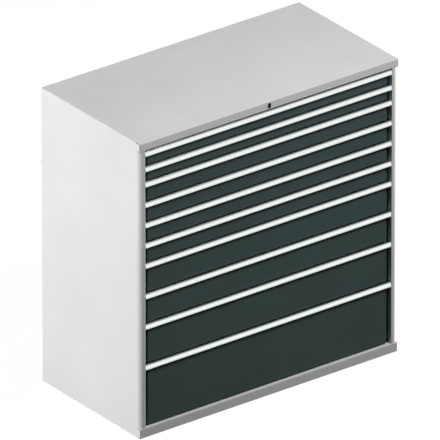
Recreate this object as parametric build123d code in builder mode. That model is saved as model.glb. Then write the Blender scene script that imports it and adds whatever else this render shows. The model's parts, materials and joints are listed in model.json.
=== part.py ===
from build123d import *
import os
from math import radians, sin, cos, atan2, degrees, hypot

# A tall, wide drawer cabinet of folded sheet steel with ten drawers and a central lock.
# All sizes are in millimetres. The origin lies on the floor under the middle of the cabinet,
# +Z is up, +X is to the right as seen from the front, and the drawers open towards -Y.

os.makedirs("parts", exist_ok=True)

# Housing
cabinet_width = 1431.0
cabinet_depth = 725.0
front_heights = [75.0, 75.0, 100.0, 100.0, 100.0, 100.0, 150.0, 150.0, 200.0, 300.0]
base_rail_height = 46.0
top_rail_height = 38.0
base_gap = 10.0
top_gap = 6.0
housing_sheet = 1.5
rail_return = 26.0
rail_lip = 12.0
rear_drop = 25.0
column_width = 32.0
column_setback = 1.0
column_fold = 10.0
column_radius = 22.0
rear_flange = 20.0
back_edge_fold = 14.0
back_fit_gap = 0.5
floor_hole_radius = 5.5
floor_hole_inset = 70.0

# Slotted uprights welded inside the side walls, and the hooks of the rails that hang in them
upright_depth = 24.0
upright_width = 40.0
upright_front_gap = 8.0
upright_rear_gap = 32.5
hook_width = 12.0
hook_height = 14.0
hook_reach = 5.0
hook_clearance = 0.3

# Telescopic rails
rail_height = 36.0
rail_sheet = 1.5
rail_flange = 9.0
rail_centre_height = 34.0
rail_front_gap = 5.0
middle_sheet = 2.5
middle_height = 44.0
roller_clearance = 0.3
roller_end_margin = 2.0
glide_length = 30.0

# Drawers
drawer_overtravel = 29.0
tray_side_gap = 51.0
tray_rear_gap = 78.5
tray_sheet = 1.2
tray_floor_height = 8.0
tray_headroom = 9.0
tray_hem = 5.0
wing_end_gap = 2.0
wing_top_gap = 3.0
wing_bottom_gap = 2.0
front_inset = 19.0
front_sheet = 1.2
front_fold_depth = 17.0
front_bottom_gap = 3.0

# Handle strip: the front wall with its label channel, the top web and the rear leg
handle_depth = 13.0
handle_end_gap = 1.0
handle_height = 24.5
handle_wall = 3.0
handle_web = 2.0
handle_leg = 1.6
handle_leg_height = 20.0
handle_tongue = 8.0
handle_grip_lip = 2.0
handle_grip_height = 2.6
label_edge = 3.4
label_lip = 0.8
label_undercut = 0.8
label_slot = 1.0
label_clearance = 0.1

# Lock rosette, barrel and core
lock_proud = 1.5
rosette_width = 17.0
rosette_height = 26.0
barrel_side = 15.0
barrel_hole_clearance = 0.1
barrel_length = 16.0
core_radius = 6.0
core_recess = 0.4
core_clearance = 0.05
key_slot_width = 1.6
key_slot_height = 7.5
key_slot_depth = 5.0
crank_radius = 9.0
crank_thickness = 2.4
crank_pin_radius = 2.5
crank_eye_wall = 1.0
lock_turn = 90.0
lock_gap = 0.3

# Lock slide under the top panel and lock bar behind the right column
slide_sheet = 2.0
slide_top_gap = 1.8
slide_end = 7.0
slot_clearance = 0.5
bar_sheet = 2.5
bar_width = 14.0
bar_column_gap = 0.5
bar_gap = 0.4
bar_pin_inset = 6.0
bar_pin_radius = 2.5
bar_end = 6.0
bar_lift = 10.2
tab_height = 6.0
tab_reach = 4.5
tab_centre_height = 14.0
notch_clearance = 1.5
guide_height = 20.0
guide_overlap = 5.0
guide_count = 3

# Worked out from the sizes above
drawer_count = len(front_heights)
cabinet_height = base_rail_height + base_gap + sum(front_heights) + top_gap + top_rail_height
half_width = cabinet_width / 2
back_y = cabinet_depth / 2
front_y = -cabinet_depth / 2 + lock_proud
column_y = front_y + column_setback
rail_rear_y = front_y + rail_return
column_rear_y = rail_rear_y
opening_half = half_width - column_width
top_rail_z = cabinet_height - top_rail_height
panel_y = front_y + handle_depth
wing_y = panel_y + front_fold_depth
wing_half = opening_half - wing_end_gap
tray_half_width = half_width - tray_side_gap
tray_rear_y = back_y - tray_rear_gap
tray_length = tray_rear_y - wing_y
drawer_travel = tray_length + drawer_overtravel
rail_front_y = wing_y + rail_front_gap
cabinet_rail_rear_y = back_y - upright_rear_gap
drawer_rail_length = tray_rear_y - rail_front_y
cabinet_rail_length = cabinet_rail_rear_y - rail_front_y
upright_x = half_width - housing_sheet - upright_depth
upright_front_y = rail_front_y + upright_front_gap
upright_rear_y = cabinet_rail_rear_y - upright_width
roller_radius = rail_height / 2 - rail_sheet - roller_clearance
middle_x = (tray_half_width + upright_x) / 2
middle_gap = middle_x - middle_sheet / 2 - tray_half_width - rail_sheet
roller_width = middle_gap - 2 * roller_clearance
roller_margin = roller_radius + roller_end_margin
roller_spacing = drawer_rail_length - 2 * roller_margin - drawer_travel / 2
lock_z = top_rail_z + top_rail_height / 2
slide_travel = 2 * crank_radius * sin(radians(lock_turn / 2))
slide_bottom = top_rail_z + rail_lip + lock_gap
slide_height = cabinet_height - housing_sheet - slide_top_gap - slide_bottom
slide_front_y = rail_rear_y - housing_sheet - lock_gap - slide_sheet
crank_y = slide_front_y - lock_gap - crank_thickness
bar_y = column_rear_y + bar_gap
bar_left_x = opening_half + bar_column_gap
bar_pin_x = bar_left_x + bar_pin_inset
bar_pin_z = slide_bottom + (slide_height - bar_lift) / 2

# Height of the lowest edge of each drawer's space, from the top drawer down
drawer_bottoms = []
edge_z = top_rail_z - top_gap
for height in front_heights:
    edge_z -= height
    drawer_bottoms.append(edge_z)


def channel(web_x, flange, y_rear, length, z_middle):
    # A C section on its back at web_x, open towards the side that the flanges point to
    tip_x = web_x + flange
    low_z = z_middle - rail_height / 2
    high_z = z_middle + rail_height / 2
    inner_side = Side.RIGHT if flange > 0 else Side.LEFT
    with BuildPart() as section:
        with BuildSketch(Plane.XZ.offset(-y_rear)):
            with BuildLine():
                Polyline((tip_x, low_z), (web_x, low_z), (web_x, high_z), (tip_x, high_z))
                offset(amount=rail_sheet, side=inner_side, kind=Kind.INTERSECTION)
            make_face()
        extrude(amount=length)
    return section.part


def block(low, high):
    # A plain block between two opposite corners
    with BuildPart() as body:
        with Locations(tuple((a + b) / 2 for a, b in zip(low, high))):
            Box(*(b - a for a, b in zip(low, high)))
    return body.part


def front_rail_panel(rail_height_z, mirrored):
    # The top panel as one folded sheet: lip, underside, front, top and rear drop.
    # The base panel is the same fold turned over.
    low_z = cabinet_height - rail_height_z
    with BuildPart() as panel:
        with BuildSketch(Plane.YZ):
            with BuildLine():
                Polyline(
                    (rail_rear_y, low_z + rail_lip),
                    (rail_rear_y, low_z),
                    (front_y, low_z),
                    (front_y, cabinet_height),
                    (back_y, cabinet_height),
                    (back_y, cabinet_height - rear_drop),
                )
                offset(amount=housing_sheet, side=Side.RIGHT, kind=Kind.INTERSECTION)
            make_face()
        extrude(amount=half_width, both=True)
        # The rear drop ends between the side walls' rear flanges
        for side in (-1, 1):
            with Locations((side * half_width, back_y, cabinet_height - housing_sheet)):
                Box(2 * rear_flange, 4 * housing_sheet, 2 * rear_drop,
                    align=(Align.CENTER, Align.CENTER, Align.MAX), mode=Mode.SUBTRACT)
        # End plates that close the rail at its two ends
        for side in (-1, 1):
            with Locations((side * half_width, front_y, low_z)):
                Box(housing_sheet, rail_return, rail_height_z,
                    align=(Align.MAX if side > 0 else Align.MIN, Align.MIN, Align.MIN))
        if mirrored:
            mirror(about=Plane.XY.offset(cabinet_height / 2), mode=Mode.REPLACE)
    return panel.part


def side_wall():
    # The left wall: one folded sheet with the front column and the rear flange, and the
    # two slotted uprights welded inside it
    outer = (-half_width, column_y)
    inner = (-half_width + housing_sheet, column_y + housing_sheet)
    with BuildPart() as wall:
        with BuildSketch(Plane.XY.offset(housing_sheet)) as section:
            with BuildLine():
                Polyline(
                    (-half_width + rear_flange, back_y),
                    (-half_width, back_y),
                    outer,
                    (-opening_half, column_y),
                    (-opening_half, column_rear_y),
                    (-opening_half - column_fold, column_rear_y),
                )
                offset(amount=housing_sheet, side=Side.LEFT, kind=Kind.INTERSECTION)
            make_face()
            fillet(section.vertices().sort_by_distance(inner)[0], column_radius - housing_sheet)
            fillet(section.vertices().sort_by_distance(outer)[0], column_radius)
        extrude(amount=cabinet_height - 2 * housing_sheet)
        # The column stops at the base rail and at the top rail, whose ends close the corners
        for low_z, high_z in ((0, base_rail_height), (top_rail_z, cabinet_height)):
            with Locations((-half_width, front_y, low_z)):
                Box(2 * (column_width + column_fold), 2 * rail_return, high_z - low_z,
                    align=(Align.CENTER, Align.CENTER, Align.MIN), mode=Mode.SUBTRACT)
        for low_y in (upright_front_y, upright_rear_y):
            with BuildSketch(Plane.XY.offset(base_rail_height)):
                with BuildLine():
                    Polyline(
                        (-half_width + housing_sheet, low_y),
                        (-upright_x, low_y),
                        (-upright_x, low_y + upright_width),
                        (-half_width + housing_sheet, low_y + upright_width),
                    )
                    offset(amount=housing_sheet, side=Side.LEFT, kind=Kind.INTERSECTION)
                make_face()
            extrude(amount=top_rail_z - base_rail_height)
            # One slot for each rail's hook
            for low_z in drawer_bottoms:
                with Locations((-upright_x, low_y + upright_width / 2, low_z + rail_centre_height)):
                    Box(4 * housing_sheet, hook_width + 2 * hook_clearance,
                        hook_height + 2 * hook_clearance, mode=Mode.SUBTRACT)
    return wall.part


# Housing pieces
wall_part = side_wall()

with BuildPart() as left_side_wall:
    add(wall_part)

with BuildPart() as right_side_wall:
    mirror(wall_part, about=Plane.YZ)
    # Guides that keep the lock bar against the column
    guide_left = bar_left_x + bar_width - guide_overlap
    guide_right = half_width - housing_sheet
    guide_low = base_rail_height + guide_height
    guide_step = (top_rail_z - base_rail_height - 3 * guide_height) / (guide_count - 1)
    for index in range(guide_count):
        with Locations((guide_left, bar_y + bar_sheet + bar_gap, guide_low + index * guide_step)):
            Box(guide_right - guide_left, housing_sheet, guide_height,
                align=(Align.MIN, Align.MIN, Align.MIN))

top_part = front_rail_panel(top_rail_height, False)
base_part = front_rail_panel(base_rail_height, True)

with BuildPart() as top_panel:
    add(top_part)
    # The square hole that keeps the lock barrel from turning
    hole_side = barrel_side + 2 * barrel_hole_clearance
    with BuildSketch(Plane.XZ.offset(-front_y)):
        with Locations((0, lock_z)):
            Rectangle(hole_side, hole_side)
    extrude(amount=-2 * housing_sheet, mode=Mode.SUBTRACT)

with BuildPart() as base_panel:
    add(base_part)
    with BuildSketch(Plane.XY):
        with GridLocations(cabinet_width - 2 * floor_hole_inset, cabinet_depth - 2 * floor_hole_inset, 2, 2):
            Circle(floor_hole_radius)
    extrude(amount=2 * housing_sheet, mode=Mode.SUBTRACT)

with BuildPart() as back_panel:
    # Plain sheet with its top and bottom edges folded inwards, against the walls' rear flanges
    panel_low = housing_sheet + back_fit_gap
    panel_high = cabinet_height - panel_low
    panel_rear = back_y - housing_sheet
    with BuildSketch(Plane.YZ):
        with BuildLine():
            Polyline(
                (panel_rear - back_edge_fold, panel_low),
                (panel_rear, panel_low),
                (panel_rear, panel_high),
                (panel_rear - back_edge_fold, panel_high),
            )
            offset(amount=housing_sheet, side=Side.LEFT, kind=Kind.INTERSECTION)
        make_face()
    extrude(amount=half_width - housing_sheet - back_fit_gap, both=True)

rail_parts = []
for low_z in drawer_bottoms:
    centre_z = low_z + rail_centre_height
    rail = channel(upright_x, -rail_flange, cabinet_rail_rear_y, cabinet_rail_length, centre_z)
    hooks = []
    for low_y in (upright_front_y, upright_rear_y):
        middle_y = low_y + upright_width / 2
        hooks.append(block(
            (upright_x - rail_sheet / 2, middle_y - hook_width / 2, centre_z - hook_height / 2),
            (upright_x + hook_reach, middle_y + hook_width / 2, centre_z + hook_height / 2),
        ))
    rail_parts.append(rail + hooks)

with BuildPart() as cabinet_rails:
    for rail in rail_parts:
        add(rail)
        mirror(rail, about=Plane.YZ)

# Lock pieces
with BuildPart() as lock_barrel:
    # The rosette lies on the rail and the square barrel passes through it
    with BuildSketch(Plane.XZ.offset(-front_y)):
        with Locations((0, lock_z)):
            SlotOverall(rosette_height, rosette_width, rotation=90)
    extrude(amount=lock_proud)
    with BuildSketch(Plane.XZ.offset(-front_y)):
        with Locations((0, lock_z)):
            Rectangle(barrel_side, barrel_side)
    extrude(amount=-barrel_length)
    with BuildSketch(Plane.XZ.offset(-front_y + lock_proud)):
        with Locations((0, lock_z)):
            Circle(core_radius + core_clearance)
    extrude(amount=-barrel_length - lock_proud, mode=Mode.SUBTRACT)

crank_angle = lock_turn / 2
pin_x = -crank_radius * sin(radians(crank_angle))
pin_z = lock_z + crank_radius * cos(radians(crank_angle))

with BuildPart() as lock_core:
    # The turning plug with its key slot, and behind it the crank with its pin
    with BuildSketch(Plane.XZ.offset(-front_y + lock_proud - core_recess)):
        with Locations((0, lock_z)):
            Circle(core_radius)
    extrude(amount=-(crank_y + crank_thickness - front_y + lock_proud - core_recess))
    with BuildSketch(Plane.XZ.offset(-front_y + lock_proud - core_recess)):
        with Locations((0, lock_z)):
            Rectangle(key_slot_width, key_slot_height)
    extrude(amount=-key_slot_depth, mode=Mode.SUBTRACT)
    with BuildSketch(Plane.XZ.offset(-crank_y)):
        with Locations((0, lock_z)):
            Circle(core_radius)
        with Locations((pin_x, pin_z)):
            Circle(crank_pin_radius + crank_eye_wall)
        make_hull()
    extrude(amount=-crank_thickness)
    with BuildSketch(Plane.XZ.offset(-crank_y - crank_thickness)):
        with Locations((pin_x, pin_z)):
            Circle(crank_pin_radius)
    extrude(amount=-(slide_sheet + 2 * lock_gap))

with BuildPart() as lock_slide:
    # Flat strip along the top rail. The crank pin moves it through the upright slot, and its
    # sloping slot lifts the pin of the lock bar
    slide_left = pin_x - crank_pin_radius - slot_clearance - slide_end
    slide_right = bar_pin_x + bar_pin_radius + slot_clearance + slide_end / 2
    with BuildSketch(Plane.XZ.offset(-slide_front_y)):
        with Locations((slide_left, slide_bottom)):
            Rectangle(slide_right - slide_left, slide_height, align=(Align.MIN, Align.MIN))
        # Upright slot: the pin rises by the crank's arc
        pin_rise = crank_radius - crank_radius * cos(radians(crank_angle))
        with Locations((pin_x, pin_z + pin_rise / 2)):
            SlotCenterToCenter(pin_rise, 2 * (crank_pin_radius + slot_clearance), rotation=90,
                               mode=Mode.SUBTRACT)
        # Sloping slot
        slope = degrees(atan2(bar_lift, -slide_travel))
        with Locations((bar_pin_x - slide_travel / 2, bar_pin_z + bar_lift / 2)):
            SlotCenterToCenter(hypot(slide_travel, bar_lift), 2 * (bar_pin_radius + slot_clearance),
                               rotation=slope, mode=Mode.SUBTRACT)
    extrude(amount=-slide_sheet)

with BuildPart() as lock_bar:
    # Upright strip with one tab for each drawer and the pin that runs in the sloping slot
    bar_low = drawer_bottoms[-1] + tab_centre_height - tab_height
    bar_high = bar_pin_z + bar_end
    with BuildSketch(Plane.XZ.offset(-bar_y)):
        with Locations((bar_left_x, bar_low)):
            Rectangle(bar_width, bar_high - bar_low, align=(Align.MIN, Align.MIN))
        for low_z in drawer_bottoms:
            with Locations((bar_left_x, low_z + tab_centre_height)):
                Rectangle(2 * tab_reach, tab_height)
    extrude(amount=-bar_sheet)
    with BuildSketch(Plane.XZ.offset(-bar_y)):
        with Locations((bar_pin_x, bar_pin_z)):
            Circle(bar_pin_radius)
    extrude(amount=bar_y - slide_front_y + lock_gap)

housing = {
    "left_side_wall": left_side_wall,
    "right_side_wall": right_side_wall,
    "top_panel": top_panel,
    "base_panel": base_panel,
    "back_panel": back_panel,
    "cabinet_rails": cabinet_rails,
    "lock_barrel": lock_barrel,
    "lock_core": lock_core,
    "lock_slide": lock_slide,
    "lock_bar": lock_bar,
}
for name, piece in housing.items():
    piece.part.label = name
    export_step(piece.part, f"parts/{name}.step")


# Drawers, from the top one down
handle_half = opening_half - handle_end_gap
front_half = opening_half - front_inset
label_half = handle_half - 2 * label_undercut

for index in range(drawer_count):
    low_z = drawer_bottoms[index]
    top_z = low_z + front_heights[index]
    number = f"{index + 1:02d}"
    tray_floor_z = low_z + tray_floor_height
    tray_top_z = top_z - tray_headroom
    tray_height = tray_top_z - tray_floor_z
    tray_middle_y = wing_y + tray_length / 2
    rail_z = low_z + rail_centre_height
    drawer_rail = channel(tray_half_width, rail_flange, tray_rear_y, drawer_rail_length, rail_z)

    with BuildPart() as tray:
        # Folded box with a flat hem round its top edge
        with BuildSketch(Plane.XY.offset(tray_floor_z)):
            with Locations((0, tray_middle_y)):
                Rectangle(2 * tray_half_width, tray_length)
        extrude(amount=tray_height)
        with BuildSketch(Plane.XY.offset(tray_top_z - tray_sheet)):
            with Locations((0, wing_y)):
                Rectangle(2 * (tray_half_width + tray_hem), tray_length + tray_hem,
                          align=(Align.CENTER, Align.MIN))
        extrude(amount=tray_sheet)
        with BuildSketch(Plane.XY.offset(tray_floor_z + tray_sheet)):
            with Locations((0, tray_middle_y)):
                Rectangle(2 * (tray_half_width - tray_sheet), tray_length - 2 * tray_sheet)
        extrude(amount=tray_height, mode=Mode.SUBTRACT)
        # Front wall with the wings beside the coloured front, and the notch for the lock bar's tab
        with BuildSketch(Plane.XZ.offset(-wing_y)):
            with Locations((0, low_z + wing_bottom_gap)):
                Rectangle(2 * wing_half, top_z - low_z - wing_top_gap - wing_bottom_gap,
                          align=(Align.CENTER, Align.MIN))
            with Locations((bar_left_x, low_z + tab_centre_height)):
                Rectangle(2 * (tab_reach + notch_clearance), tab_height + 2 * notch_clearance,
                          mode=Mode.SUBTRACT)
        extrude(amount=-tray_sheet)
        # Drawer rails welded to the two side walls
        add(drawer_rail)
        mirror(drawer_rail, about=Plane.YZ)

    with BuildPart() as front:
        # Shallow folded pan, open towards the tray
        front_low = low_z + front_bottom_gap
        front_high = top_z - handle_web
        with BuildSketch(Plane.XZ.offset(-panel_y)):
            with Locations((0, front_low)):
                Rectangle(2 * front_half, front_high - front_low, align=(Align.CENTER, Align.MIN))
        extrude(amount=-front_fold_depth)
        with BuildSketch(Plane.XZ.offset(-panel_y - front_sheet)):
            with Locations((0, front_low + front_sheet)):
                Rectangle(2 * (front_half - front_sheet), front_high - front_low - 2 * front_sheet,
                          align=(Align.CENTER, Align.MIN))
        extrude(amount=-front_fold_depth, mode=Mode.SUBTRACT)

    with BuildPart() as handle:
        # One extruded section. Depths run back from the front plane, heights down from the top
        wall_back = front_y + handle_wall
        leg_front = panel_y - handle_leg
        grip_back = wall_back + handle_grip_lip
        slot_front = front_y + label_lip
        slot_back = slot_front + label_slot
        bottom_z = top_z - handle_height
        under_web = top_z - handle_web
        with BuildSketch(Plane.YZ):
            with BuildLine():
                Polyline(
                    (front_y, top_z),
                    (panel_y + handle_tongue, top_z),
                    (panel_y + handle_tongue, under_web),
                    (panel_y, under_web),
                    (panel_y, top_z - handle_leg_height),
                    (leg_front, top_z - handle_leg_height),
                    (leg_front, under_web),
                    (wall_back, under_web),
                    (wall_back, bottom_z + handle_grip_height),
                    (grip_back, bottom_z + handle_grip_height),
                    (grip_back, bottom_z),
                    (front_y, bottom_z),
                    (front_y, bottom_z + label_edge),
                    (slot_front, bottom_z + label_edge),
                    (slot_front, bottom_z + label_edge - label_undercut),
                    (slot_back, bottom_z + label_edge - label_undercut),
                    (slot_back, top_z - label_edge + label_undercut),
                    (slot_front, top_z - label_edge + label_undercut),
                    (slot_front, top_z - label_edge),
                    (front_y, top_z - label_edge),
                    close=True,
                )
            make_face()
        extrude(amount=handle_half, both=True)

    with BuildPart() as label:
        # White strip that slides into the handle's channel
        label_low = bottom_z + label_edge - label_undercut + label_clearance
        label_high = top_z - label_edge + label_undercut - label_clearance
        with BuildSketch(Plane.XZ.offset(-slot_front - label_clearance)):
            with Locations((0, label_low)):
                Rectangle(2 * label_half, label_high - label_low, align=(Align.CENTER, Align.MIN))
        extrude(amount=-(label_slot - 2 * label_clearance))

    with BuildPart() as middle_rails:
        # Flat web between the two channels. A roller at its front end carries the drawer rail
        # and one at its rear end runs in the cabinet rail, each with a plastic glide at half length
        with BuildSketch(Plane.XZ.offset(-tray_rear_y)):
            with Locations((middle_x, rail_z)):
                Rectangle(middle_sheet, middle_height)
        extrude(amount=drawer_rail_length)
        front_roller_y = rail_front_y + roller_margin
        rear_roller_y = tray_rear_y - roller_margin
        inner_x = middle_x - middle_sheet / 2 - roller_clearance
        outer_x = middle_x + middle_sheet / 2 + roller_clearance
        for start_x, reach, roller_y, glide_y in (
            (inner_x, -roller_width, front_roller_y, front_roller_y + roller_spacing),
            (outer_x, roller_width, rear_roller_y, rear_roller_y - roller_spacing),
        ):
            with BuildSketch(Plane.YZ.offset(start_x)):
                with Locations((roller_y, rail_z)):
                    Circle(roller_radius)
                with Locations((glide_y, rail_z)):
                    Rectangle(glide_length, 2 * roller_radius)
            extrude(amount=reach)
        mirror(about=Plane.YZ)

    pieces = {"tray": tray, "front": front, "handle": handle, "label": label, "middle_rails": middle_rails}
    for name, piece in pieces.items():
        piece.part.label = f"drawer_{number}_{name}"
        export_step(piece.part, f"parts/drawer_{number}_{name}.step")

print("height of the cabinet", cabinet_height)
print("travel of a drawer", drawer_travel, "and of its middle rails", drawer_travel / 2)
print("travel of the lock slide", round(slide_travel, 3), "and lift of the lock bar", bar_lift)
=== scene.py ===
# A tall, wide workshop drawer cabinet of powder-coated sheet steel, with bare aluminium handle
# strips, dressed around its fixed frame. Metres, +Z up, the drawers open towards -Y.
import json
import math
import bpy
import numpy as np
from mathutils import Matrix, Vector

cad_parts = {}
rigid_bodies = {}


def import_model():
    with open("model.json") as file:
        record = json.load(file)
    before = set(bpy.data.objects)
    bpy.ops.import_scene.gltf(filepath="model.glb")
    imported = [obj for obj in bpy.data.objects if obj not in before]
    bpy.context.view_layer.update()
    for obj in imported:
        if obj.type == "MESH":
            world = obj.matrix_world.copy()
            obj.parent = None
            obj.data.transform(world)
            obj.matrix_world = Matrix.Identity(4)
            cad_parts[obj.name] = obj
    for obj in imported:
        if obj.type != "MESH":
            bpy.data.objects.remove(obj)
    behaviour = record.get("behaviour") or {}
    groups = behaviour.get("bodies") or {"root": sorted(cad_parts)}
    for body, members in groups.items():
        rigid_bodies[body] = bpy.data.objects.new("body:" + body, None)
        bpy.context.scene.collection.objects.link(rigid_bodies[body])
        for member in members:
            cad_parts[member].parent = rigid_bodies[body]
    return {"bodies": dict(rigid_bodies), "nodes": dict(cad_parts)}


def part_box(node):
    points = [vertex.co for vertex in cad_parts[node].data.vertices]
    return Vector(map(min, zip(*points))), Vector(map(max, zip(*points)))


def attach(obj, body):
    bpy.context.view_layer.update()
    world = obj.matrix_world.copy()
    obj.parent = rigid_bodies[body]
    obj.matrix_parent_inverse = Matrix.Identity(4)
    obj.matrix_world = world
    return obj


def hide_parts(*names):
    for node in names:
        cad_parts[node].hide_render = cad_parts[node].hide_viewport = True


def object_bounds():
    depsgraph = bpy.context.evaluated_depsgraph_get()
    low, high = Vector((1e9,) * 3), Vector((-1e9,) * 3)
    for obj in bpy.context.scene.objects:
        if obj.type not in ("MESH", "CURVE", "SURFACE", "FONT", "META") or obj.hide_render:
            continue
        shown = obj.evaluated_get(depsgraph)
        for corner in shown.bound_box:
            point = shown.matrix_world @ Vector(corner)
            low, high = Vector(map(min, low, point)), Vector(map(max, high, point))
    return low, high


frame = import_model()
cadLow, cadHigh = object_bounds()
cadMiddle = (Vector(cadLow) + Vector(cadHigh)) / 2
scene = bpy.context.scene
mm = 0.001
nodes = frame["nodes"]
drawerNames = sorted(name for name in frame["bodies"] if name.startswith("drawer_"))
print("frame loaded:", len(nodes), "nodes,", len(drawerNames), "drawers")


# Small helpers
def hexColour(text):
    # sRGB hex to linear red, green, blue and full alpha
    values = [int(text[i:i + 2], 16) / 255 for i in (1, 3, 5)]
    linear = [v / 12.92 if v <= 0.04045 else ((v + 0.055) / 1.055) ** 2.4 for v in values]
    return (*linear, 1.0)


def addNode(tree, kind, settings, links):
    # one node with its properties, socket values and incoming links
    node = tree.nodes.new(kind)
    for name, value in settings.items():
        if name in node.inputs:
            node.inputs[name].default_value = value
        else:
            setattr(node, name, value)
    for name, source in links.items():
        tree.links.new(source, node.inputs[name])
    return node


def newMaterial(name):
    # an empty node material with its output and its Object coordinates
    material = bpy.data.materials.new(name)
    material.use_nodes = True
    tree = material.node_tree
    tree.nodes.clear()
    output = addNode(tree, "ShaderNodeOutputMaterial", {}, {})
    place = addNode(tree, "ShaderNodeTexCoord", {}, {}).outputs["Object"]
    return material, tree, output, place


def setRamp(node, stops):
    # colour stops of a ramp, as (position, colour) pairs
    ramp = node.color_ramp
    while len(ramp.elements) < len(stops):
        ramp.elements.new(0.5)
    for element, (position, colour) in zip(ramp.elements, stops):
        element.position = position
        element.color = colour
    return node


def dressNodes(names, material):
    # the material on the frame's own nodes
    for name in names:
        slots = nodes[name].data.materials
        slots.clear()
        slots.append(material)


# Materials
powderSpecs = {
    # polyester powder coat on phosphated steel, baked: satin, with a fine orange peel
    "housing": {"name": "powderCoatLightGrey", "light": "#D4D6D3", "dark": "#CFD1CE", "roughness": 0.46,
                "gloss": 0.25},
    "drawers": {"name": "powderCoatAnthracite", "light": "#485857", "dark": "#435251", "roughness": 0.44,
                "gloss": 0.05},
}
peelSize = 2.2 * mm      # real orange peel is about 1 mm across, drawn coarser so that it shows
panelWave = 260 * mm     # slow unevenness of a rolled and coated sheet


def powderCoat(spec):
    # a slow cloud that tints the coat and changes its sheen, under a fine bumpy peel
    material, tree, output, place = newMaterial(spec["name"])
    cloud = addNode(tree, "ShaderNodeTexNoise", {"Scale": 1 / panelWave, "Detail": 3.0,
                                                 "Roughness": 0.55}, {"Vector": place})
    peel = addNode(tree, "ShaderNodeTexNoise", {"Scale": 1 / peelSize, "Detail": 2.0}, {"Vector": place})
    tint = setRamp(addNode(tree, "ShaderNodeValToRGB", {}, {"Fac": cloud.outputs["Fac"]}),
                   [(0.3, hexColour(spec["dark"])), (0.7, hexColour(spec["light"]))])
    sheen = addNode(tree, "ShaderNodeMapRange", {"To Min": spec["roughness"] - 0.05,
                                                 "To Max": spec["roughness"] + 0.06},
                    {"Value": cloud.outputs["Fac"]})
    bump = addNode(tree, "ShaderNodeBump", {"Strength": 0.12, "Distance": 0.12 * mm},
                   {"Height": peel.outputs["Fac"]})
    shader = addNode(tree, "ShaderNodeBsdfPrincipled", {"Metallic": 0.0, "IOR": 1.5,
                                                        "Specular IOR Level": spec["gloss"]},
                     {"Base Color": tint.outputs["Color"], "Roughness": sheen.outputs["Result"],
                      "Normal": bump.outputs["Normal"]})
    tree.links.new(shader.outputs[0], output.inputs["Surface"])
    return material


metalSpecs = {
    # Each grain is the size of one blotch of the pattern along X, Y and Z, and depth its height.
    # Extruded aluminium, natural anodised: silvery, with fine die lines along its length, which
    # are about 0.1 mm wide and are drawn coarser so that they show
    "handles": {"name": "anodisedAluminium", "light": "#F1F5F5", "dark": "#E4EAEB", "roughness": 0.17,
                "grain": (1000 / 3 * mm, 2 / 3 * mm, 2 / 3 * mm), "depth": 0.03 * mm},
    # bare label strip of metallised film: silver white, smooth and as bright as the handle round it
    "labels": {"name": "silverLabelFilm", "light": "#F6FAFA", "dark": "#EFF4F5", "roughness": 0.17,
               "grain": (10 * mm, 1 * mm, 1 * mm), "depth": 0.01 * mm},
    # sheet steel, bright zinc plated: cool grey with a cloudy lustre
    "zinc": {"name": "zincPlatedSteel", "light": "#C4C8CB", "dark": "#A6ABB0", "roughness": 0.36,
             "grain": (10 / 3 * mm, 10 / 3 * mm, 10 / 3 * mm), "depth": 0.02 * mm},
}


def brightMetal(spec):
    # a metal whose grain is a noise stretched along the direction it was worked in
    material, tree, output, place = newMaterial(spec["name"])
    along = addNode(tree, "ShaderNodeMapping", {"Scale": [1 / size for size in spec["grain"]]},
                    {"Vector": place})
    grain = addNode(tree, "ShaderNodeTexNoise", {"Scale": 1.0, "Detail": 3.0},
                    {"Vector": along.outputs[0]})
    tint = setRamp(addNode(tree, "ShaderNodeValToRGB", {}, {"Fac": grain.outputs["Fac"]}),
                   [(0.3, hexColour(spec["dark"])), (0.7, hexColour(spec["light"]))])
    sheen = addNode(tree, "ShaderNodeMapRange", {"To Min": spec["roughness"] - 0.06,
                                                 "To Max": spec["roughness"] + 0.08},
                    {"Value": grain.outputs["Fac"]})
    bump = addNode(tree, "ShaderNodeBump", {"Strength": 0.2, "Distance": spec["depth"]},
                   {"Height": grain.outputs["Fac"]})
    shader = addNode(tree, "ShaderNodeBsdfPrincipled", {"Metallic": 1.0},
                     {"Base Color": tint.outputs["Color"], "Roughness": sheen.outputs["Result"],
                      "Normal": bump.outputs["Normal"]})
    tree.links.new(shader.outputs[0], output.inputs["Surface"])
    return material


plasticSpecs = {
    # black lacquer on the die-cast rosette and plug: near black, satin, finely grained
    "lock": {"name": "blackLacquer", "light": "#0E0F10", "dark": "#090A0A", "roughness": 0.45,
             "gloss": 0.12, "grain": 0.8 * mm},
    # moulded polyamide rollers and glides: milky white, satin
    "roller": {"name": "mouldedPolyamide", "light": "#E4E2DA", "dark": "#D9D7CE", "roughness": 0.42,
               "gloss": 0.5, "grain": 1.5 * mm},
}


def mouldedPlastic(spec):
    # a fine even grain in the colour and the surface
    material, tree, output, place = newMaterial(spec["name"])
    grain = addNode(tree, "ShaderNodeTexNoise", {"Scale": 1 / spec["grain"], "Detail": 2.0},
                    {"Vector": place})
    tint = setRamp(addNode(tree, "ShaderNodeValToRGB", {}, {"Fac": grain.outputs["Fac"]}),
                   [(0.3, hexColour(spec["dark"])), (0.7, hexColour(spec["light"]))])
    bump = addNode(tree, "ShaderNodeBump", {"Strength": 0.15, "Distance": 0.05 * mm},
                   {"Height": grain.outputs["Fac"]})
    shader = addNode(tree, "ShaderNodeBsdfPrincipled", {"Metallic": 0.0, "IOR": 1.5,
                                                        "Specular IOR Level": spec["gloss"],
                                                        "Roughness": spec["roughness"]},
                     {"Base Color": tint.outputs["Color"], "Normal": bump.outputs["Normal"]})
    tree.links.new(shader.outputs[0], output.inputs["Surface"])
    return material


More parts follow.
